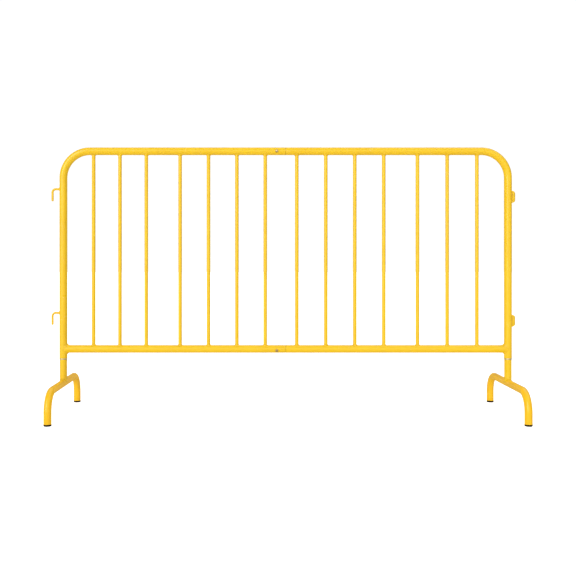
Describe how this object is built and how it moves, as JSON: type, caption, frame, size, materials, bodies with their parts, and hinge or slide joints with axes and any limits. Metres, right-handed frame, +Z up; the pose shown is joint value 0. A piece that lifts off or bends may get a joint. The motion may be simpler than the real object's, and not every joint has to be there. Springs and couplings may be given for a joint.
{
  "type": "crowd control barrier",
  "caption": "Yellow steel crowd control barrier: a barred tube panel in two plugged halves, with end hooks and keepers, on turning lift-off bridge feet.",
  "frame": {"origin": "on the floor, under the middle of the panel, in the plane of its tubes", "axes": "+X along the panel from the hooks to the keepers, -Y the front with the snap buttons, +Z up"},
  "size_m": [1.9195, 0.5704, 1.1],
  "materials": {
    "yellow_paint": "glossy yellow powder coat",
    "zinc_plate": "bright zinc plate",
    "spring_steel": "plain spring steel",
    "black_rubber": "black moulded rubber"
  },
  "bodies": {
    "left_frame": {"left_hoop": "yellow_paint", "left_bottom_rail": "yellow_paint", "left_bar_1": "yellow_paint", "left_bar_2": "yellow_paint", "left_bar_3": "yellow_paint", "left_bar_4": "yellow_paint", "left_bar_5": "yellow_paint", "left_bar_6": "yellow_paint", "left_bar_7": "yellow_paint", "upper_hook": "yellow_paint", "lower_hook": "yellow_paint", "upper_rail_sleeve": "zinc_plate", "lower_rail_sleeve": "zinc_plate", "upper_snap_spring": "spring_steel", "lower_snap_spring": "spring_steel"},
    "right_frame": {"right_hoop": "yellow_paint", "right_bottom_rail": "yellow_paint", "right_bar_1": "yellow_paint", "right_bar_2": "yellow_paint", "right_bar_3": "yellow_paint", "right_bar_4": "yellow_paint", "right_bar_5": "yellow_paint", "right_bar_6": "yellow_paint", "right_bar_7": "yellow_paint", "upper_keeper": "yellow_paint", "lower_keeper": "yellow_paint"},
    "upper_button": {"upper_snap_button": "zinc_plate"},
    "lower_button": {"lower_snap_button": "zinc_plate"},
    "left_ring": {"left_stop_ring": "zinc_plate"},
    "right_ring": {"right_stop_ring": "zinc_plate"},
    "left_foot": {"left_leg_spigot": "zinc_plate", "left_foot_post": "yellow_paint", "left_foot_bridge": "yellow_paint", "left_front_foot_cap": "black_rubber", "left_rear_foot_cap": "black_rubber"},
    "right_foot": {"right_leg_spigot": "zinc_plate", "right_foot_post": "yellow_paint", "right_foot_bridge": "yellow_paint", "right_front_foot_cap": "black_rubber", "right_rear_foot_cap": "black_rubber"}
  },
  "joints": [
    {"name": "halves_pull", "type": "slide", "parent": "left_frame", "child": "right_frame", "axis": [1, 0, 0], "range_m": [0, 0.15]},
    {"name": "upper_button_press", "type": "slide", "parent": "left_frame", "child": "upper_button", "axis": [0, 1, 0], "range_m": [0, 0.0045], "stiffness_N_per_m": 1500, "deforming": ["upper_snap_spring"]},
    {"name": "lower_button_press", "type": "slide", "parent": "left_frame", "child": "lower_button", "axis": [0, 0.9135, 0.4067], "range_m": [0, 0.0045], "stiffness_N_per_m": 1500, "deforming": ["lower_snap_spring"]},
    {"name": "left_foot_pull", "type": "slide", "parent": "left_frame", "child": "left_ring", "axis": [0, 0, -1], "range_m": [0, 0.08]},
    {"name": "left_foot_turn", "type": "hinge", "parent": "left_ring", "child": "left_foot", "pos_m": [-0.92, 0, 0.2255], "axis": [0, 0, 1], "range_deg": [-90, 90]},
    {"name": "right_foot_pull", "type": "slide", "parent": "right_frame", "child": "right_ring", "axis": [0, 0, -1], "range_m": [0, 0.08]},
    {"name": "right_foot_turn", "type": "hinge", "parent": "right_ring", "child": "right_foot", "pos_m": [0.92, 0, 0.2255], "axis": [0, 0, 1], "range_deg": [-90, 90]}
  ],
  "couplings": [
    {"joint": "right_foot_pull", "follows": "left_foot_pull", "ratio": 1}
  ]
}
